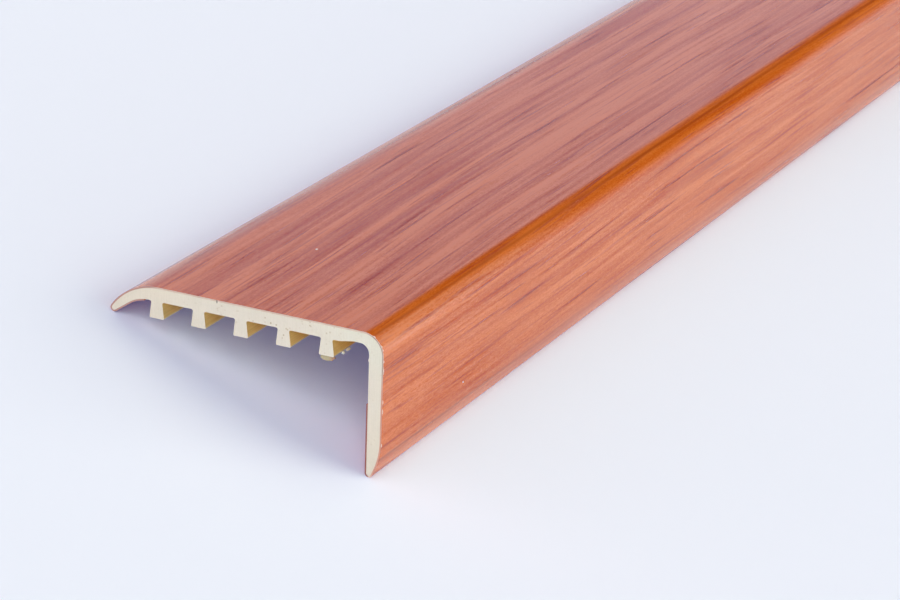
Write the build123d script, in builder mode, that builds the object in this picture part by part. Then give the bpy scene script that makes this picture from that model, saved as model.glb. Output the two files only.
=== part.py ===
"""Wood-look stair nosing: a length of extruded PVC angle wrapped in a wood-grain film.

The section is drawn as it sits on a stair. Its x runs back from the front face to the lip,
its y runs up, and its zero is where the front face and the top face would meet.
The finished part lies as it rests on a floor, on its toe and its lip, with the nose up.
Frame: +X along the length, +Y to the back, +Z up, origin under the middle. Millimetres.
"""

import os
from math import asin, atan2, cos, degrees, hypot, radians, sin, sqrt, tan

from build123d import *

# Overall sizes, measured over the film
length = 900.0
depth = 55.0
height = 27.0

# Thickness of the film and of the walls under it
film = 0.3
tread_wall = 2.4
riser_wall = 2.5

# Nose, where the tread wall bends down into the riser wall
nose_radius = 4.0
bend_radius = 1.8

# Shallow relief under the bend, with a ramp back to the full tread wall
relief_depth = 0.5
relief_width = 3.2
relief_ramp = 2.7

# Lip along the back edge, which curves down to the tread
lip_reach = 10.0
lip_radius = 12.0
lip_tip_radius = 0.75
lip_slope = 35.0
hollow_radius = 6.5

# Toe along the bottom edge of the riser wall, thinned from the front
toe_radius = 0.75
taper_height = 7.2

# Dovetail ribs that key into the adhesive, in a row from the relief to the lip
rib_count = 5
rib_height = 3.25
rib_root = 2.2
rib_tip = 3.0
rib_root_radius = 0.35
rib_tip_radius = 0.2
rib_front_margin = 2.45
rib_back_margin = 1.8

# Edges of the film: the bare strip behind the last rib, and the turn-up behind the riser wall
film_strip = 1.1
film_turn_up = 13.7

# Levels of the bare extrusion
top_level = -film
front_face = film
underside = top_level - tread_wall
back_face = front_face + riser_wall
bend_level = underside + relief_depth

# Circles of the toe and of the front taper, which runs into the toe
toe_x = back_face + film - toe_radius
toe_y = toe_radius - height
taper_y = taper_height - height
taper_drop = taper_y - toe_y
taper_radius = (toe_x**2 + taper_drop**2 - toe_radius**2) / (2 * (toe_x - toe_radius))
taper_angle = degrees(atan2(taper_drop, taper_radius - toe_x))

# Circle of the lip's tip, inside the lip's top arc and at the full depth
lip_x = depth - lip_reach
lip_tip_x = depth - lip_tip_radius
lip_tip_y = sqrt((lip_radius - lip_tip_radius) ** 2 - (lip_tip_x - lip_x) ** 2) - lip_radius
lip_angle = degrees(atan2(lip_tip_y + lip_radius, lip_tip_x - lip_x))

# Hollow arc under the lip, from the flat underside into the lip's slope
slope = radians(lip_slope)
slope_end_x = lip_tip_x - lip_tip_radius * sin(slope)
slope_end_y = lip_tip_y - lip_tip_radius * cos(slope)
slope_start_x = slope_end_x - (underside - film - slope_end_y) / tan(slope)
hollow_x = slope_start_x - hollow_radius * tan(slope / 2)
hollow_y = underside - film - hollow_radius

# Row of ribs
relief_x = back_face + relief_width
ramp_x = relief_x + relief_ramp
rib_first = ramp_x + rib_front_margin
rib_last = hollow_x - rib_back_margin
rib_pitch = (rib_last - rib_first) / (rib_count - 1)
rib_side_angle = degrees(atan2(rib_height, (rib_tip - rib_root) / 2))

# Lean of the section at rest, with one floor line under the toe and the lip's tip
span = hypot(lip_tip_x - toe_x, lip_tip_y - toe_y)
rise = atan2(lip_tip_y - toe_y, lip_tip_x - toe_x)
rest_lean = rise - asin((lip_tip_radius - toe_radius) / span)


def draw_blank():
    """Draw the extrusion's section without its ribs, in the current sketch."""
    tip_sweep = 90 + lip_slope + lip_angle
    with BuildLine() as outline:
        Line((lip_x, top_level), (nose_radius, top_level))
        nose = CenterArc((nose_radius, -nose_radius), nose_radius - film, 90, 90)
        taper = CenterArc((taper_radius, taper_y), taper_radius - film, 180, taper_angle)
        Line(nose @ 1, taper @ 0)
        toe = CenterArc((toe_x, toe_y), toe_radius - film, 180 + taper_angle, 180 - taper_angle)
        hollow = CenterArc((hollow_x, hollow_y), hollow_radius + film, 90, -lip_slope)
        Polyline(
            toe @ 1,
            (back_face, bend_level),
            (relief_x, bend_level),
            (ramp_x, underside),
            hollow @ 0,
        )
        tip = CenterArc((lip_tip_x, lip_tip_y), lip_tip_radius - film, -90 - lip_slope, tip_sweep)
        Line(hollow @ 1, tip @ 0)
        CenterArc((lip_x, -lip_radius), lip_radius - film, lip_angle, 90 - lip_angle)
    make_face(outline.edges())
    inner_corner = vertices().sort_by_distance((back_face, bend_level))[0]
    fillet(inner_corner, bend_radius)


def draw_ribs():
    """Add the row of dovetail ribs under the blank, with rounded roots and tips."""
    with Locations(((rib_first + rib_last) / 2, underside - rib_height / 2)):
        with GridLocations(rib_pitch, 0, rib_count, 1):
            Trapezoid(rib_tip, rib_height, rib_side_angle)
    roots = vertices(Select.LAST).group_by(Axis.Y)[-1]
    fillet(roots, rib_root_radius)
    tips = vertices().filter_by_position(Axis.X, ramp_x, hollow_x).group_by(Axis.Y)[0]
    fillet(tips, rib_tip_radius)


def draw_film():
    """Draw the film's section: a skin round the blank, open where the blank stays bare."""
    draw_blank()
    offset(amount=film)
    with BuildSketch(mode=Mode.PRIVATE) as blank:
        draw_blank()
    add(blank.sketch, mode=Mode.SUBTRACT)
    inside_wall = front_face + riser_wall / 2
    under_tread = top_level - (tread_wall - relief_depth) / 2
    lip_edge = rib_last + rib_tip / 2 + film_strip
    turn_up_edge = film_turn_up - height
    with Locations(((inside_wall + lip_edge) / 2, (under_tread + turn_up_edge) / 2)):
        Rectangle(lip_edge - inside_wall, under_tread - turn_up_edge, mode=Mode.SUBTRACT)


# The section leans so that both edges touch the floor, and is centred over the origin
lean = {"x_dir": (0, cos(rest_lean), -sin(rest_lean)), "z_dir": (1, 0, 0)}
with BuildSketch(Plane((0, 0, 0), **lean)) as trial:
    draw_film()
trial_box = trial.sketch.bounding_box()
section_plane = Plane((-length / 2, -trial_box.center().Y, -trial_box.min.Z), **lean)

# The extrusion, one run of ivory PVC
with BuildPart() as pvc_profile:
    with BuildSketch(section_plane):
        draw_blank()
        draw_ribs()
    extrude(amount=length)
pvc_profile.part.label = "pvc_profile"

# The wood-grain film, one strip wrapped over the top, the nose and the riser wall
with BuildPart() as decor_film:
    with BuildSketch(section_plane):
        draw_film()
    extrude(amount=length)
decor_film.part.label = "decor_film"

os.makedirs("parts", exist_ok=True)
export_step(pvc_profile.part, "parts/pvc_profile.step")
export_step(decor_film.part, "parts/decor_film.step")
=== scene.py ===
from math import acos, asin, atan2, cos, degrees, hypot, pi, radians, sin, sqrt, tan

import bmesh
import bpy
from mathutils import Matrix, Quaternion, Vector, noise


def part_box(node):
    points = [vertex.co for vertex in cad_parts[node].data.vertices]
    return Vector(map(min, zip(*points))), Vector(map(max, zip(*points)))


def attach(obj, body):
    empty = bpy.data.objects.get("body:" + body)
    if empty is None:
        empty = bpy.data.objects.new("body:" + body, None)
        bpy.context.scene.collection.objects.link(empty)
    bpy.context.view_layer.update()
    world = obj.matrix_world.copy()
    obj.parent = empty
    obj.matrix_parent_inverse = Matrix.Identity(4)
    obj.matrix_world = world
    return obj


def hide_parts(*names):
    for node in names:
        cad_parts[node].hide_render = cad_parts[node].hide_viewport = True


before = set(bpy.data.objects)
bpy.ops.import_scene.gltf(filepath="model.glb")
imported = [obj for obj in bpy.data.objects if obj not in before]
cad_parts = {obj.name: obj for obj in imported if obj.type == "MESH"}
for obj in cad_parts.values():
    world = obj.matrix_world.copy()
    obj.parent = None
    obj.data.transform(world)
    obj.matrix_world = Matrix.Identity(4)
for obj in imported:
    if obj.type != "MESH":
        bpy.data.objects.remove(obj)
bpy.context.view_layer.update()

# PVC profile
# The body of the nosing is one run of rigid ivory PVC, pushed through a die and sawn to length.
# The die leaves a honey-coloured skin with faint lines along it. The saw leaves paler ends with
# open pores. The section is in millimetres, back from the front face and up from the top face.
mm = 0.001
depth = 55.0
height = 27.0
film = 0.3
tread_wall = 2.4
riser_wall = 2.5
nose_radius = 4.0
bend_radius = 1.8
relief_depth = 0.5
relief_width = 3.2
relief_ramp = 2.7
ramp_radius = 1.5
lip_reach = 10.0
lip_radius = 12.0
lip_tip_radius = 0.75
lip_slope = 35.0
hollow_radius = 6.5
toe_radius = 0.75
taper_height = 7.2
rib_count = 5
rib_height = 3.25
rib_root = 2.2
rib_tip = 3.0
rib_root_radius = 0.35
rib_tip_radius = 0.2
rib_front_margin = 2.45
rib_back_margin = 1.8
film_strip = 1.1
film_turn_up = 13.7

front_face = film
underside = -film - tread_wall
back_face = front_face + riser_wall
bend_level = underside + relief_depth
toe = (back_face + film - toe_radius, toe_radius - height)
taper_y = taper_height - height
taper_drop = taper_y - toe[1]
taper_radius = (toe[0] ** 2 + taper_drop**2 - toe_radius**2) / (2 * (toe[0] - toe_radius))
taper_angle = degrees(atan2(taper_drop, taper_radius - toe[0]))
lip_x = depth - lip_reach
lip_tip_x = depth - lip_tip_radius
lip_tip_y = sqrt((lip_radius - lip_tip_radius) ** 2 - (lip_tip_x - lip_x) ** 2) - lip_radius
lip_angle = degrees(atan2(lip_tip_y + lip_radius, lip_tip_x - lip_x))
slope = radians(lip_slope)
slope_rise = underside - film - (lip_tip_y - lip_tip_radius * cos(slope))
slope_start = lip_tip_x - lip_tip_radius * sin(slope) - slope_rise / tan(slope)
hollow = (slope_start - hollow_radius * tan(slope / 2), underside - film - hollow_radius)
relief_x = back_face + relief_width
ramp_x = relief_x + relief_ramp
rib_first = ramp_x + rib_front_margin
rib_last = hollow[0] - rib_back_margin
rib_pitch = (rib_last - rib_first) / (rib_count - 1)
rib_tips = underside - rib_height
lip_edge = rib_last + rib_tip / 2 + film_strip
turn_up_edge = film_turn_up - height

low_corner, high_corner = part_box("pvc_profile")
run_length = high_corner[0] - low_corner[0]
near_end = low_corner[0] / mm


def arc(centre, radius, start, end, steps):
    """Points on an arc between two angles in degrees, both ends included."""
    angles = [radians(start + (end - start) * i / steps) for i in range(steps + 1)]
    return [(centre[0] + radius * cos(t), centre[1] + radius * sin(t)) for t in angles]


def turn_matrix(angle):
    """A plane rotation for row vectors, clockwise by the signed angle."""
    return Matrix(((cos(angle), -sin(angle)), (sin(angle), cos(angle))))


def rounded(corners, steps=6):
    """Round a line of (x, y, radius) corners into a list of points."""
    points = [corners[0][:2]]
    for before, corner, after in zip(corners, corners[1:], corners[2:]):
        here = Vector(corner[:2])
        back = (Vector(before[:2]) - here).normalized()
        on = (Vector(after[:2]) - here).normalized()
        half = back.angle(on) / 2
        centre = here + (back + on).normalized() * (corner[2] / sin(half))
        run = corner[2] / tan(half)
        start = here + back * run - centre
        turn = start.angle_signed(here + on * run - centre)
        for i in range(steps + 1):
            points.append(tuple(centre + Vector((start.x, start.y)) @ turn_matrix(turn * i / steps)))
    return points + [corners[-1][:2]]


def wrapped_side(skin):
    """The side that the film covers, from the lip's underside to the back of the riser wall."""
    out = skin - film
    edge_angle = degrees(acos((lip_edge - hollow[0]) / (hollow_radius - out)))
    path = arc(hollow, hollow_radius - out, edge_angle, 90 - lip_slope, steps=8)
    path += arc((lip_tip_x, lip_tip_y), lip_tip_radius + out, -90 - lip_slope, lip_angle, steps=20)
    path += arc((lip_x, -lip_radius), lip_radius + out, lip_angle, 90, steps=26)[1:]
    path += arc((nose_radius, -nose_radius), nose_radius + out, 90, 180, steps=32)
    path += arc((taper_radius, taper_y), taper_radius + out, 180, 180 + taper_angle, steps=14)
    path += arc(toe, toe_radius + out, 180 + taper_angle, 360, steps=20)[1:]
    return path + [(back_face + skin, turn_up_edge)]


def bare_side():
    """The side that the film leaves bare, from the riser wall past the ribs to the lip."""
    corners = [
        (back_face, turn_up_edge, 0),
        (back_face, bend_level, bend_radius),
        (relief_x, bend_level, ramp_radius),
        (ramp_x, underside, ramp_radius),
    ]
    for i in range(rib_count):
        middle = rib_first + i * rib_pitch
        corners += [
            (middle - rib_root / 2, underside, rib_root_radius),
            (middle - rib_tip / 2, rib_tips, rib_tip_radius),
            (middle + rib_tip / 2, rib_tips, rib_tip_radius),
            (middle + rib_root / 2, underside, rib_root_radius),
        ]
    return rounded(corners + [(hollow[0], underside, 0)])


# The section leans on the floor, on its toe and its lip, and is centred over the origin
film_side = wrapped_side(film)
rise = atan2(lip_tip_y - toe[1], lip_tip_x - toe[0])
lean = rise - asin((lip_tip_radius - toe_radius) / hypot(lip_tip_x - toe[0], lip_tip_y - toe[1]))
turned = [(a * cos(lean) + b * sin(lean), b * cos(lean) - a * sin(lean)) for a, b in film_side]
middle_y = (min(y for y, z in turned) + max(y for y, z in turned)) / 2
lowest_z = min(z for y, z in turned)


def row_point(x, a, b):
    """A point of the section, at rest on the floor, as metres in the part's own frame."""
    y = a * cos(lean) + b * sin(lean) - middle_y
    z = b * cos(lean) - a * sin(lean) - lowest_z
    return Vector((x * mm, y * mm, z * mm))


def fill(tree, node, inputs):
    """Fill a node's inputs with values or with links."""
    for name, value in inputs.items():
        if isinstance(value, bpy.types.NodeSocket):
            tree.links.new(value, node.inputs[name])
        else:
            node.inputs[name].default_value = value


def add_node(tree, kind, inputs=None, **settings):
    """Add a node, set its properties, and fill its inputs."""
    made = tree.nodes.new(kind)
    for name, value in settings.items():
        setattr(made, name, value)
    fill(tree, made, inputs or {})
    return made


def add_sockets(tree, inputs, output):
    """Give a tree its named inputs and its output, and return the inputs' identifiers."""
    identifiers = {}
    for name, kind in inputs:
        socket = tree.interface.new_socket(name, in_out="INPUT", socket_type="NodeSocket" + kind)
        identifiers[name] = socket.identifier
    name, kind = output
    tree.interface.new_socket(name, in_out="OUTPUT", socket_type="NodeSocket" + kind)
    return identifiers


def math(tree, operation, first, second=0.0):
    """The result of a math node."""
    return add_node(tree, "ShaderNodeMath", {0: first, 1: second}, operation=operation).outputs[0]


# A length of any section: the outline is swept from end to end, closed and given its materials.
# The distance round the outline goes with it, so that a print can follow the surface.
smooth_below = radians(25)
run_of_section = bpy.data.node_groups.new("run_of_section", "GeometryNodeTree")
run_inputs = (
    ("Outline", "Geometry"),
    ("Length", "Float"),
    ("Side Material", "Material"),
    ("End Material", "Material"),
)
run_sockets = add_sockets(run_of_section, run_inputs, ("Run", "Geometry"))
given = add_node(run_of_section, "NodeGroupInput").outputs
half_length = math(run_of_section, "MULTIPLY", given["Length"], 0.5)
path_start = add_node(run_of_section, "ShaderNodeCombineXYZ", {"X": half_length}).outputs[0]
path_end = add_node(
    run_of_section, "ShaderNodeVectorMath", {0: path_start, 1: (-1, 1, 1)}, operation="MULTIPLY"
).outputs[0]
sweep_path = add_node(
    run_of_section, "GeometryNodeCurvePrimitiveLine", {"Start": path_start, "End": path_end}
)
outline = add_node(run_of_section, "GeometryNodeMeshToCurve", {"Mesh": given["Outline"]})
girth = add_node(run_of_section, "GeometryNodeCaptureAttribute", {0: outline.outputs[0]}, domain="POINT")
girth.capture_items.new("FLOAT", "girth")
around = add_node(run_of_section, "GeometryNodeSplineParameter").outputs["Length"]
fill(run_of_section, girth, {"girth": around})
swept = add_node(
    run_of_section,
    "GeometryNodeCurveToMesh",
    {"Curve": sweep_path.outputs[0], "Profile Curve": girth.outputs[0], "Fill Caps": True},
)
place = add_node(run_of_section, "GeometryNodeInputPosition").outputs[0]
along = add_node(run_of_section, "ShaderNodeSeparateXYZ", {0: place}).outputs["X"]
flat_place = add_node(run_of_section, "ShaderNodeCombineXYZ", {"X": along, "Y": girth.outputs["girth"]})
mapped = add_node(
    run_of_section,
    "GeometryNodeStoreNamedAttribute",
    {"Geometry": swept.outputs[0], "Name": "grain_map", "Value": flat_place.outputs[0]},
    data_type="FLOAT2",
    domain="CORNER",
)
between_faces = add_node(run_of_section, "GeometryNodeInputMeshEdgeAngle").outputs[0]
gentle = math(run_of_section, "LESS_THAN", between_faces, smooth_below)
smooth = add_node(
    run_of_section,
    "GeometryNodeSetShadeSmooth",
    {0: mapped.outputs[0], "Shade Smooth": gentle},
    domain="EDGE",
)
facing = add_node(run_of_section, "GeometryNodeInputNormal").outputs[0]
facing_along = add_node(run_of_section, "ShaderNodeSeparateXYZ", {0: facing}).outputs["X"]
at_end = math(run_of_section, "GREATER_THAN", math(run_of_section, "ABSOLUTE", facing_along), 0.5)
outside_out = add_node(run_of_section, "GeometryNodeFlipFaces", {0: smooth.outputs[0]})
whole = add_node(run_of_section, "GeometryNodeRealizeInstances", {0: outside_out.outputs[0]})
sides = add_node(
    run_of_section, "GeometryNodeSetMaterial", {0: whole.outputs[0], "Material": given["Side Material"]}
)
ends = add_node(
    run_of_section,
    "GeometryNodeSetMaterial",
    {0: sides.outputs[0], "Selection": at_end, "Material": given["End Material"]},
)
add_node(run_of_section, "NodeGroupOutput", {"Run": ends.outputs[0]})


def new_object(name, data):
    """An object that shows the mesh, lamp or camera, in the scene."""
    made = bpy.data.objects.new(name, data)
    bpy.context.collection.objects.link(made)
    return made


def grown(piece, tree, values):
    """Let a geometry tree make the piece's plain mesh, with its inputs set by their identifiers."""
    grower = piece.modifiers.new("grower", "NODES")
    grower.node_group = tree
    for identifier, value in values.items():
        grower[identifier] = value
    shapes = bpy.context.evaluated_depsgraph_get()
    made = bpy.data.meshes.new_from_object(
        piece.evaluated_get(shapes), preserve_all_data_layers=True, depsgraph=shapes
    )
    piece.modifiers.remove(grower)
    piece.data = made
    return piece


def sweep_section(name, points, side_material, end_material):
    """Make a run of one closed outline, as a plain mesh."""
    flat = [row_point(0, a, b) for a, b in points]
    seed = bpy.data.meshes.new(name)
    # The sweep turns the outline's x to the row's y and its y to the row's minus z
    seed.from_pydata(
        [(p.y, -p.z, 0) for p in flat], [(i, (i + 1) % len(flat)) for i in range(len(flat))], []
    )
    values = {
        run_sockets["Length"]: run_length,
        run_sockets["Side Material"]: side_material,
        run_sockets["End Material"]: end_material,
    }
    return grown(new_object(name, seed), run_of_section, values)


def new_material(name):
    """A node material, its tree and its shader."""
    material = bpy.data.materials.new(name)
    material.use_nodes = True
    return material, material.node_tree, material.node_tree.nodes["Principled BSDF"]


def product(tree, first, second):
    """One value times another."""
    return math(tree, "MULTIPLY", first, second)


def remap(tree, value, low, high, at_low=0.0, at_high=1.0):
    """The value, moved from one range to another and held inside it."""
    ranges = {0: value, 1: low, 2: high, 3: at_low, 4: at_high}
    return add_node(tree, "ShaderNodeMapRange", ranges).outputs[0]


def blend(tree, share, first, second):
    """A colour between two others."""
    return add_node(tree, "ShaderNodeMix", {0: share, 6: first, 7: second}, data_type="RGBA").outputs[2]


def noise_at(tree, place, stretch, seed, detail):
    """Noise read at a place that is stretched along each axis and moved by a seed."""
    stretched = {0: place, 1: stretch, 2: (seed, seed, seed)}
    moved = add_node(tree, "ShaderNodeVectorMath", stretched, operation="MULTIPLY_ADD")
    drawn = {"Vector": moved.outputs[0], "Scale": 1, "Detail": detail}
    return add_node(tree, "ShaderNodeTexNoise", drawn).outputs[0]


def section_place(tree):
    """The place on the section, back and up in millimetres, from the object's own coordinates."""
    place = add_node(tree, "ShaderNodeTexCoord").outputs["Object"]
    corner = row_point(0, 0, 0)
    found = []
    for direction in (Vector((0, cos(lean), -sin(lean))), Vector((0, sin(lean), cos(lean)))):
        reach = add_node(tree, "ShaderNodeVectorMath", {0: place, 1: direction}, operation="DOT_PRODUCT")
        from_corner = math(tree, "SUBTRACT", reach.outputs["Value"], corner.dot(direction))
        found.append(product(tree, from_corner, 1 / mm))
    return found


# Cloudy unevenness of filled PVC, shared by the sawn faces, the skin and the burrs
clouds_in_metre = 260
specks_in_metre = 2400
pvc_mottle = bpy.data.node_groups.new("pvc_mottle", "ShaderNodeTree")
add_sockets(pvc_mottle, (("Colour", "Color"), ("Amount", "Float")), ("Colour", "Color"))
mottle_given = add_node(pvc_mottle, "NodeGroupInput").outputs
mottle_place = add_node(pvc_mottle, "ShaderNodeTexCoord").outputs["Object"]
clouds = noise_at(pvc_mottle, mottle_place, [clouds_in_metre] * 3, 1.7, 3)
specks = noise_at(pvc_mottle, mottle_place, [specks_in_metre] * 3, 5.2, 2)
uneven = math(pvc_mottle, "SUBTRACT", math(pvc_mottle, "ADD", clouds, specks), 1.0)
swing = math(pvc_mottle, "ADD", product(pvc_mottle, uneven, mottle_given["Amount"]), 1.0)
evened = add_node(
    pvc_mottle, "ShaderNodeVectorMath", {0: mottle_given["Colour"], "Scale": swing}, operation="SCALE"
)
add_node(pvc_mottle, "NodeGroupOutput", {"Colour": evened.outputs[0]})


def mottled(tree, colour, amount):
    """The colour with the cloudy unevenness of filled PVC."""
    inputs = {"Colour": colour, "Amount": amount}
    return add_node(tree, "ShaderNodeGroup", inputs, node_tree=pvc_mottle).outputs["Colour"]


# Dark nick that the saw left in the top edge, between the third and the fourth rib from the nose
nick_colour = (0.10, 0.06, 0.04, 1)
nick_back = 33.1
nick_above = -0.25
nick_half_width = 0.14
nick_half_height = 0.4
saw_nick = bpy.data.node_groups.new("saw_nick", "ShaderNodeTree")
add_sockets(saw_nick, (("Back", "Float"), ("Above", "Float")), ("Mask", "Float"))
nick_given = add_node(saw_nick, "NodeGroupInput").outputs
nick_reach = 0.0
for place, middle, half_size in (
    (nick_given["Back"], nick_back, nick_half_width),
    (nick_given["Above"], nick_above, nick_half_height),
):
    off = math(saw_nick, "DIVIDE", math(saw_nick, "SUBTRACT", place, middle), half_size)
    nick_reach = math(saw_nick, "ADD", nick_reach, math(saw_nick, "POWER", off, 2.0))
add_node(saw_nick, "NodeGroupOutput", {"Mask": remap(saw_nick, nick_reach, 0.5, 1.2, 0.85, 0.0)})


def nicked(tree, back, above):
    """A mask for the nick, from the place on the section."""
    inputs = {"Back": back, "Above": above}
    return add_node(tree, "ShaderNodeGroup", inputs, node_tree=saw_nick).outputs["Mask"]


# Sawn face: pale ivory, fine marks of the blade, open pores in clusters between the nose and the lip
ivory_colour = (0.755, 0.68, 0.575, 1)
nose_ivory = (0.755, 0.715, 0.60, 1)
riser_ivory = (0.74, 0.655, 0.535, 1)
lip_ivory = (0.775, 0.685, 0.56, 1)
blade_mark_colour = (0.66, 0.58, 0.45, 1)
pore_colour = (0.40, 0.28, 0.14, 1)
pores_in_mm = 1.3
sawn_pvc, tree, shader = new_material("sawn_pvc")
back, above = section_place(tree)
on_face = add_node(tree, "ShaderNodeCombineXYZ", {"X": back, "Y": above}).outputs[0]
blade_marks = noise_at(tree, on_face, (5.2, 0.32, 1), 3.1, 2)
pore_cells = add_node(tree, "ShaderNodeTexVoronoi", {"Vector": on_face, "Scale": pores_in_mm}).outputs
pore_pick = add_node(tree, "ShaderNodeSeparateColor", {0: pore_cells["Color"]}).outputs[0]
pore_dots = remap(tree, pore_cells["Distance"], 0.15, 0.3, 1.0, 0.0)
pore_dots = product(tree, pore_dots, math(tree, "GREATER_THAN", pore_pick, 0.42))
pore_fields = remap(tree, noise_at(tree, on_face, (0.26, 0.26, 1), 8.3, 1), 0.42, 0.56)
away_from_lip = remap(tree, back, 26, 36, 1.0, 0.15)
away_from_nose = remap(tree, back, 8, 14, 0.15, 1.0)
pore_fields = product(tree, pore_fields, product(tree, away_from_lip, away_from_nose))
pores = product(tree, pore_dots, pore_fields)
at_nose = product(tree, remap(tree, back, 14, 6), remap(tree, above, -9, -4))
ivory = blend(tree, at_nose, ivory_colour, nose_ivory)
ivory = blend(tree, remap(tree, above, -14, -20), ivory, riser_ivory)
ivory = blend(tree, remap(tree, back, 34, 44), ivory, lip_ivory)
ivory = mottled(tree, ivory, 0.09)
marked = blend(tree, remap(tree, blade_marks, 0.35, 0.7, 0.0, 0.28), ivory, blade_mark_colour)
opened = blend(tree, product(tree, pores, 0.75), marked, pore_colour)
opened = blend(tree, nicked(tree, back, above), opened, nick_colour)
face_height = math(tree, "SUBTRACT", product(tree, blade_marks, 0.3), pores)
relief = {"Strength": 0.35, "Distance": 0.08 * mm, "Height": face_height}
face_bump = add_node(tree, "ShaderNodeBump", relief).outputs[0]
fill(tree, shader, {"Base Color": opened, "Roughness": 0.6, "Normal": face_bump})

# Die skin: honey coloured, with fine lines along the length, and a painted highlight on the tips of the
# ribs, where their rounded edges catch light from below
honey_colour = (0.90, 0.60, 0.23, 1)
die_line_colour = (0.70, 0.45, 0.14, 1)
rib_tip_highlight_colour = (0.95, 0.84, 0.60, 1)
die_lines_in_metre = (3, 3600, 3600)
pvc_skin, tree, shader = new_material("pvc_skin")
back, above = section_place(tree)
place = add_node(tree, "ShaderNodeTexCoord").outputs["Object"]
die_lines = noise_at(tree, place, die_lines_in_metre, 2.4, 2)
honey = mottled(tree, honey_colour, 0.12)
lined = blend(tree, remap(tree, die_lines, 0.4, 0.7, 0.0, 0.5), honey, die_line_colour)
on_ribs = math(tree, "GREATER_THAN", back, ramp_x)
# Painted highlight along the rib tips, fading in towards the tip level
painted_tip_highlight = product(tree, remap(tree, above, rib_tips + 0.5, rib_tips + 0.1), on_ribs)
lined = blend(tree, product(tree, painted_tip_highlight, 0.7), lined, rib_tip_highlight_colour)
relief = {"Strength": 0.2, "Distance": 0.04 * mm, "Height": die_lines}
skin_bump = add_node(tree, "ShaderNodeBump", relief).outputs[0]
fill(tree, shader, {"Base Color": lined, "Roughness": 0.4, "Normal": skin_bump})

core_outline = wrapped_side(0) + bare_side()[1:]
pvc_profile = sweep_section("pvc_profile_run", core_outline, pvc_skin, sawn_pvc)
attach(pvc_profile, "root")
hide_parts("pvc_profile")

# Saw burrs
# The blade tears a flap of soft PVC from the rib by the nose at the near end, browned at one side, and
# leaves crumbs beside it and on the riser wall. They are the same PVC, stuck where the cut left them, but
# painted paler than the sawn ivory, a painted highlight where they catch the light.
burr_colour = (0.48, 0.40, 0.24, 1)
scorch_colour = (0.50, 0.27, 0.18, 1)
saw_burr, tree, shader = new_material("saw_burr")
back, above = section_place(tree)
scorched = remap(tree, back, 10.0, 10.8, 1.0, 0.0)
flap = blend(tree, scorched, mottled(tree, burr_colour, 0.2), scorch_colour)
fill(tree, shader, {"Base Color": flap, "Roughness": 0.55})

# Painted highlight: the crumbs are coloured paler than the sawn PVC they are made of, as if lit
crumb_painted_light_colour = (0.94, 0.90, 0.83, 1)
crumb_pvc_painted_light, tree, shader = new_material("crumb_pvc_painted_light")
fill(tree, shader, {"Base Color": mottled(tree, crumb_painted_light_colour, 0.15), "Roughness": 0.6})

lump_swell = 0.35
lump_swells_across = 1.6


def lumps(name, material, places):
    """Rough little lumps, as one mesh: each has its place, from the near end, and its half sizes."""
    shape = bmesh.new()
    for from_end, a, b, *half_sizes in places:
        x = near_end + from_end
        made = bmesh.ops.create_icosphere(shape, subdivisions=3, radius=1)
        for vertex in made["verts"]:
            swell = 1 + lump_swell * noise.noise(vertex.co * lump_swells_across + Vector((x, a, b)))
            out = [vertex.co[i] * half_sizes[i] * swell for i in range(3)]
            vertex.co = row_point(x + out[0], a + out[1], b + out[2])
    mesh = bpy.data.meshes.new(name)
    shape.to_mesh(mesh)
    shape.free()
    mesh.materials.append(material)
    for face in mesh.polygons:
        face.use_smooth = True
    return new_object(name, mesh)


burr_places = [(0.55, 11.1, -6.4, 0.4, 1.3, 0.62)]
burr = lumps("saw_burr", saw_burr, burr_places)
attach(burr, "root")
crumb_places = [
    (0.3, 12.3, -5.75, 0.25, 0.25, 0.3),
    (3.2, 9.5, -6.1, 0.4, 0.3, 0.3),
    (5.1, 9.5, -6.1, 0.75, 0.28, 0.24),
    (0.25, 2.85, -5.15, 0.2, 0.2, 0.3),
]
crumbs = lumps("saw_crumbs", crumb_pvc_painted_light, crumb_places)
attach(crumbs, "root")

# Wood-grain film
# A thin printed PVC foil, satin and duller in its dark streaks, glued round the extrusion by rollers.
# It is turned under the lip and up the back of the riser wall, and sawn through with the profile.
deep_colour = (0.42, 0.050, 0.002, 1)
wood_colour = (0.53, 0.099, 0.005, 1)
pale_colour = (0.67, 0.158, 0.022, 1)
streak_colour = (0.24, 0.012, 0.02, 1)
vein_colour = (0.33, 0.045, 0.001, 1)
wood_film, tree, shader = new_material("wood_film")
grain_map = add_node(tree, "ShaderNodeUVMap", uv_map="grain_map").outputs[0]
on_film = add_node(tree, "ShaderNodeSeparateXYZ", {0: grain_map}).outputs
along_film = product(tree, on_film["X"], 1 / mm)
from_lip = product(tree, on_film["Y"], 1 / mm)


def about_zero(tree, place, stretch, seed, width):
    """Soft noise, centred on zero and scaled to a width."""
    return product(tree, math(tree, "SUBTRACT", noise_at(tree, place, stretch, seed, 1), 0.5), width)


def layered(tree, place, layers):
    """Noise about zero, as a sum of layers: repeats in a metre along and across, weight, seed."""
    total = 0.0
    for along, across, weight, seed in layers:
        total = math(tree, "ADD", total, about_zero(tree, place, (along, across, 1), seed, weight))
    return total


def strip(tree, place, start, full, fading, end):
    """A mask for a strip along the film, which rises and falls across it."""
    return product(tree, remap(tree, place, start, full), remap(tree, place, end, fading))
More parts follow.
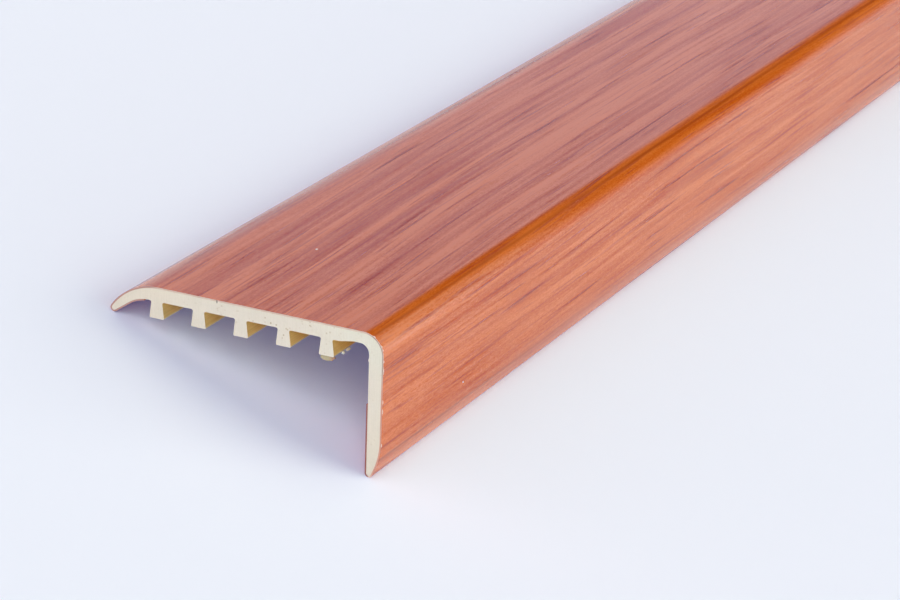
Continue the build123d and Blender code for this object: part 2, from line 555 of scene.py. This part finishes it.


# Broad bands and fine fibres wander a little sideways. The print is painted paler on the top and over
# the nose, a painted sheen, and paler towards the near end, painted light.
wander = about_zero(tree, grain_map, (7, 22, 1), 4.4, 6 * mm)
sideways = add_node(tree, "ShaderNodeCombineXYZ", {"Y": wander}).outputs[0]
grain = add_node(tree, "ShaderNodeVectorMath", {0: grain_map, 1: sideways}, operation="ADD").outputs[0]
band_layers = (
    (4, 210, 2.0, 276.95),
    (6, 480, 2.3, 510.05),
)
fibre_layers = (
    (20, 1000, 1.1, 20),
    (50, 2200, 0.6, 50),
    (500, 2600, 0.8, 500),
    (1300, 4200, 1.2, 1300),
)
bands = product(tree, layered(tree, grain, band_layers), remap(tree, from_lip, 51, 62, 1.0, 0.45))
fibres = layered(tree, grain, fibre_layers)
# Painted sheen: paler print on the top and over the nose
painted_sheen_top = product(tree, strip(tree, from_lip, 24, 32, 66, 71), 0.24)
# Painted light: paler print, fading out over the first 40 mm from the near end
painted_light_near_end = remap(tree, along_film, near_end, near_end + 40, 0.2, 0.0)
tone = math(tree, "ADD", math(tree, "ADD", bands, fibres), math(tree, "ADD", painted_sheen_top, painted_light_near_end))
wood = blend(tree, remap(tree, tone, -0.6, 0.0), deep_colour, wood_colour)
wood = blend(tree, remap(tree, tone, 0.0, 0.6), wood, pale_colour)

# Dark streaks, a vein along the nose, and a darker line above the bottom edge that fades out away from the
# near end
nose_vein_from_lip = 63.6
foot_dark_line_from_lip = 87.5
long_streaks = remap(tree, noise_at(tree, grain, (28, 1100, 1), 51.7, 1), 0.60, 0.75, 0.0, 0.7)
short_streaks = remap(tree, noise_at(tree, grain, (60, 2400, 1), 67.3, 1), 0.62, 0.78, 0.0, 0.6)
streaks = math(tree, "MAXIMUM", long_streaks, short_streaks)
vein_place = math(tree, "ADD", from_lip, about_zero(tree, grain_map, (25, 1, 1), 7.7, 1.0))
nose_vein_off = math(tree, "ABSOLUTE", math(tree, "SUBTRACT", vein_place, nose_vein_from_lip))
nose_vein_depth = remap(tree, noise_at(tree, grain_map, (14, 1, 1), 3.9, 1), 0.3, 0.6, 0.25, 0.75)
nose_vein = product(tree, remap(tree, nose_vein_off, 0.1, 0.5, 1.0, 0.0), nose_vein_depth)
# A darker line above the bottom edge, strongest at the near end and gone 110 mm from it
foot_dark_line_off = math(tree, "ABSOLUTE", math(tree, "SUBTRACT", vein_place, foot_dark_line_from_lip))
foot_dark_line_depth = remap(tree, along_film, near_end + 40, near_end + 110, 0.85, 0.0)
foot_dark_line = product(tree, remap(tree, foot_dark_line_off, 0.1, 0.6, 1.0, 0.0), foot_dark_line_depth)
wood = blend(tree, streaks, wood, streak_colour)
wood = blend(tree, math(tree, "MAXIMUM", nose_vein, foot_dark_line), wood, vein_colour)

# Satin gloss, weaker in the dark of the grain and rubbed a little at the nose and above the foot
shine = math(tree, "ADD", fibres, product(tree, bands, 0.24))
gloss = remap(tree, shine, -0.5, 0.5, 0.15, 0.99)
gloss = math(tree, "SUBTRACT", gloss, product(tree, streaks, 0.3))
rubbed_nose = product(tree, strip(tree, from_lip, 59.8, 61.8, 63.0, 65.0), 0.3)
rubbed_foot = product(tree, strip(tree, from_lip, 82.2, 84.5, 87.2, 88.5), 0.2)
left_glossy = math(tree, "SUBTRACT", 1.0, math(tree, "ADD", rubbed_nose, rubbed_foot))
emboss_height = math(tree, "SUBTRACT", product(tree, tone, 0.5), streaks)
relief = {"Strength": 0.12, "Distance": 0.03 * mm, "Height": emboss_height}
emboss = add_node(tree, "ShaderNodeBump", relief).outputs[0]
film_looks = {
    "Base Color": wood,
    "Roughness": remap(tree, streaks, 0.0, 1.0, 0.18, 0.34),
    "IOR": 1.54,
    "Specular IOR Level": product(tree, gloss, left_glossy),
    "Normal": emboss,
}
fill(tree, shader, film_looks)

# Sawn edge of the film: painted pale along the top, a painted highlight where the cut edge catches the
# light, with a paler painted highlight on its rim and a line of print round the bend, and brown at the lip,
# down the riser wall and behind the toe
# Painted highlight: the sawn film edge is coloured pale where it catches the light
edge_highlight_colour = (0.60, 0.43, 0.34, 1)
edge_highlight_patch_colour = (0.68, 0.52, 0.42, 1)
print_colour = (0.26, 0.15, 0.12, 1)
rim_highlight_colour = (0.86, 0.66, 0.56, 1)
leg_edge_colour = (0.62, 0.28, 0.20, 1)
lip_edge_colour = (0.46, 0.24, 0.20, 1)
toe_edge_colour = (0.30, 0.095, 0.075, 1)
film_edge, tree, shader = new_material("film_edge")
back, above = section_place(tree)
on_edge = add_node(tree, "ShaderNodeCombineXYZ", {"X": back, "Y": above}).outputs[0]
edge_highlight_patches = remap(tree, noise_at(tree, on_edge, (0.9, 0.9, 1), 6.6, 2), 0.35, 0.65)
edge_colour = blend(tree, edge_highlight_patches, edge_highlight_colour, edge_highlight_patch_colour)
from_front = math(tree, "MAXIMUM", math(tree, "SUBTRACT", nose_radius, back), 0.0)
from_top = math(tree, "MAXIMUM", math(tree, "ADD", above, nose_radius), 0.0)
squares = math(tree, "ADD", math(tree, "POWER", from_front, 2.0), math(tree, "POWER", from_top, 2.0))
inside = math(tree, "SUBTRACT", nose_radius, math(tree, "SQRT", squares))
by_bend = product(tree, remap(tree, back, 2.5, 3.5, 1.0, 0.0), remap(tree, above, -9.5, -6.5))
print_line = product(tree, strip(tree, inside, 0.06, 0.11, 0.17, 0.23), by_bend)
# Painted highlight on the rim of the cut edge round the bend
rim_highlight = product(tree, remap(tree, inside, 0.05, 0.1, 1.0, 0.0), by_bend)
down_the_leg = product(tree, remap(tree, above, -7.5, -10.5), remap(tree, back, 1.5, 2.2, 1.0, 0.0))
behind_toe = product(tree, remap(tree, back, 2.2, 2.6), remap(tree, above, -8, -11))
edge_colour = blend(tree, print_line, edge_colour, print_colour)
edge_colour = blend(tree, rim_highlight, edge_colour, rim_highlight_colour)
edge_colour = blend(tree, down_the_leg, edge_colour, leg_edge_colour)
edge_colour = blend(tree, remap(tree, back, 44.5, 47), edge_colour, lip_edge_colour)
edge_colour = blend(tree, behind_toe, edge_colour, toe_edge_colour)
edge_colour = blend(tree, nicked(tree, back, above), edge_colour, nick_colour)
fill(tree, shader, {"Base Color": edge_colour, "Roughness": 0.5})

film_outline = film_side + wrapped_side(0)[::-1]
decor_film = sweep_section("decor_film_wrap", film_outline, wood_film, film_edge)
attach(decor_film, "root")
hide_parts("decor_film")

# Chipped film edge
# The saw lifts pale threads of foil along its cut edge, round the nose and down the riser wall.
# Each thread follows the edge and thins out at both ends.
chip_brown = (0.70, 0.40, 0.30, 1)
chip_white = (0.84, 0.68, 0.60, 1)
chip_spots_in_metre = 1500
thread_radius = 0.11
thread_end_share = 0.15
thread_inset = 0.12
thread_steps = 8
thread_sides = 8
film_chip, tree, shader = new_material("film_chip")
chip_place = add_node(tree, "ShaderNodeTexCoord").outputs["Object"]
chip_tone = remap(tree, noise_at(tree, chip_place, [chip_spots_in_metre] * 3, 9.2, 1), 0.35, 0.65)
fill(tree, shader, {"Base Color": blend(tree, chip_tone, chip_brown, chip_white), "Roughness": 0.5})

film_threads = bpy.data.node_groups.new("film_threads", "GeometryNodeTree")
thread_inputs = (("Paths", "Geometry"), ("Radius", "Float"), ("Material", "Material"))
thread_sockets = add_sockets(film_threads, thread_inputs, ("Threads", "Geometry"))
given = add_node(film_threads, "NodeGroupInput").outputs
paths = add_node(film_threads, "GeometryNodeMeshToCurve", {"Mesh": given["Paths"]})
share = add_node(film_threads, "GeometryNodeSplineParameter").outputs["Factor"]
swell = math(film_threads, "SINE", product(film_threads, share, pi))
swell = math(film_threads, "MAXIMUM", swell, thread_end_share)
ring_inputs = {"Resolution": thread_sides, "Radius": given["Radius"]}
ring = add_node(film_threads, "GeometryNodeCurvePrimitiveCircle", ring_inputs)
threads = add_node(
    film_threads,
    "GeometryNodeCurveToMesh",
    {"Curve": paths.outputs[0], "Profile Curve": ring.outputs[0], "Scale": swell, "Fill Caps": True},
)
threads = add_node(film_threads, "GeometryNodeRealizeInstances", {0: threads.outputs[0]})
threads = add_node(
    film_threads, "GeometryNodeSetMaterial", {0: threads.outputs[0], "Material": given["Material"]}
)
add_node(film_threads, "NodeGroupOutput", {"Threads": threads.outputs[0]})


def down_the_film(run):
    """A point on the film's outside, by the distance from the top of the nose's bend."""
    bend = nose_radius * pi / 2
    if run < bend:
        turn = run / nose_radius
        return nose_radius * (1 - sin(turn)), nose_radius * (cos(turn) - 1)
    straight = run - bend - (height - taper_height - nose_radius)
    if straight < 0:
        return 0.0, bend - run - nose_radius
    turn = straight / taper_radius
    return taper_radius * (1 - cos(turn)), taper_y - taper_radius * sin(turn)


# Each thread's start and end, in millimetres down the film from where the nose begins to bend
round_the_nose = ((1.9, 2.5), (4.0, 4.7), (4.8, 5.2))
down_the_riser = ((6.8, 7.4), (8.1, 9.5), (14.2, 15.2), (15.9, 17.1), (22.4, 23.2))
thread_points = []
thread_edges = []
for start, end in round_the_nose + down_the_riser:
    for i in range(thread_steps + 1):
        a, b = down_the_film(start + (end - start) * i / thread_steps)
        thread_points.append(row_point(near_end + thread_inset, a, b))
        if i > 0:
            thread_edges.append((len(thread_points) - 2, len(thread_points) - 1))
seed = bpy.data.meshes.new("film_chips")
seed.from_pydata(thread_points, thread_edges, [])
thread_values = {thread_sockets["Radius"]: thread_radius * mm, thread_sockets["Material"]: film_chip}
film_chips = grown(new_object("film_chips", seed), film_threads, thread_values)
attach(film_chips, "root")

# Dust
# Two pale grains of dust cling to the film, one on the top and one low on the front. They are loose
# and rough, and a little paler than the film's own shine.
dust_grey = (0.62, 0.50, 0.48, 1)
dust_white = (0.92, 0.82, 0.80, 1)
dust_spots_in_metre = 4000
dust, tree, shader = new_material("pale_dust")
dust_place = add_node(tree, "ShaderNodeTexCoord").outputs["Object"]
dust_tone = noise_at(tree, dust_place, [dust_spots_in_metre] * 3, 2.2, 1)
fill(tree, shader, {"Base Color": blend(tree, dust_tone, dust_grey, dust_white), "Roughness": 0.8})
grain_places = [
    (31.9, 30.6, 0.05, 0.3, 0.22, 0.12),
    (32.0, 0.0, -19.75, 0.2, 0.08, 0.16),
]
grains = lumps("dust_grains", dust, grain_places)
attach(grains, "root")

# Studio
# A pale table in a white room, lit by broad soft lights: a cool one by the camera, a warm one behind
# the part on its right, and weaker ones at the sides and above. A reflector card stands by the nose.
table_half_size = 15.0
paper_colour = (0.84, 0.89, 0.97, 1)
paper_glow_colour = (0.28, 0.30, 1.0, 1)
paper_glow = 0.145
paper, tree, shader = new_material("table_paper")
ray = add_node(tree, "ShaderNodeLightPath").outputs
seen = math(tree, "MAXIMUM", ray["Is Camera Ray"], ray["Is Glossy Ray"])
paper_looks = {
    "Base Color": paper_colour,
    "Roughness": 0.9,
    "Emission Color": paper_glow_colour,
    "Emission Strength": product(tree, seen, paper_glow),
}
fill(tree, shader, paper_looks)
floor_mesh = bpy.data.meshes.new("table")
corners = [(-1, -1), (1, -1), (1, 1), (-1, 1)]
floor_points = [(x * table_half_size, y * table_half_size, 0) for x, y in corners]
floor_mesh.from_pydata(floor_points, [], [(0, 1, 2, 3)])
floor_mesh.materials.append(paper)
floor = new_object("table", floor_mesh)

light_width = radians(50)


def soft_light(name, azimuth, elevation, level):
    """A broad far light; a white face square to it gets the level as its colour."""
    lamp = bpy.data.lights.new(name, "SUN")
    lamp.angle = light_width
    lamp.energy = pi * max(level)
    lamp.color = [part / max(level) for part in level]
    turn, lift = radians(azimuth), radians(elevation)
    toward = Vector((cos(lift) * cos(turn), cos(lift) * sin(turn), sin(lift)))
    new_object(name, lamp).rotation_euler = toward.to_track_quat("Z", "Y").to_euler()


soft_light("camera_light", 180, 37, (0.37, 0.49, 0.52))
soft_light("back_right_light", -60, 25, (0.62, 0.59, 0.48))
soft_light("right_light", -110, 25, (0.13, 0.15, 0.13))
soft_light("left_light", 135, 25, (0.39, 0.25, 0.27))
soft_light("high_back_light", 0, 62, (0.25, 0.22, 0.14))

card_lamp = bpy.data.lights.new("reflector_card", "AREA")
card_lamp.shape = "RECTANGLE"
card_lamp.size = 0.24
card_lamp.size_y = 0.36
card_lamp.energy = pi * card_lamp.size * card_lamp.size_y
card_lamp.color = (0.65, 0.93, 1.0)
card = new_object("reflector_card", card_lamp)
card.visible_diffuse = False
card.visible_camera = False
card_edge = Vector((-0.2, -0.06, 0.14))
card_lean = radians(45)
card.location = card_edge + Vector((0, -cos(card_lean), sin(card_lean))) * card_lamp.size / 2
card_axes = ((0, 0, 1), (cos(card_lean), sin(card_lean), 0), (-sin(card_lean), cos(card_lean), 0))
card.rotation_euler = Matrix(card_axes).to_euler()

# Walls of the room, bright low down and dark higher up, and weaker behind the camera
wall_level = 0.94
wall_colour = (0.73, 0.77, 1.0, 1)
seen_level = 0.95
seen_colour = (0.84, 0.86, 1.0, 1)
world = bpy.data.worlds.new("studio")
world.use_nodes = True
bpy.context.scene.world = world
room = world.node_tree
outward = add_node(room, "ShaderNodeTexCoord").outputs["Generated"]
toward = add_node(room, "ShaderNodeSeparateXYZ", {0: outward}).outputs
left_wall = remap(room, toward["Z"], 0.23, 0.33, wall_level, 0.0)
right_wall = remap(room, toward["Z"], 0.04, 0.34, wall_level, 0.0)
to_left = remap(room, toward["Y"], -0.1, 0.1)
far_off = remap(room, toward["X"], -0.1, 0.1, 0.4, 1.0)
walls = add_node(room, "ShaderNodeMix", {0: to_left, 2: right_wall, 3: left_wall}).outputs[0]
camera_ray = add_node(room, "ShaderNodeLightPath").outputs["Is Camera Ray"]
backdrop = {
    "Color": blend(room, camera_ray, wall_colour, seen_colour),
    "Strength": math(room, "MAXIMUM", product(room, walls, far_off), product(room, camera_ray, seen_level)),
}
fill(room, room.nodes["Background"], backdrop)

# Camera
# A long lens, close to the sawn end, tilted so that the riser wall stands upright in the picture.
camera_place = Vector((-0.93124, -0.16963, 0.31416))
camera_aim = Vector((-0.42652, -0.02155, 0.02556))
camera_roll = radians(24.3)
camera = new_object("camera", bpy.data.cameras.new("camera"))
camera.data.lens = 135.4
camera.data.sensor_width = 36.0
camera.location = camera_place
look = (camera_aim - camera_place).to_track_quat("-Z", "Y")
camera.rotation_mode = "QUATERNION"
camera.rotation_quaternion = look @ Quaternion((0, 0, 1), camera_roll)
bpy.context.scene.camera = camera
bpy.context.scene.view_settings.view_transform = "Standard"
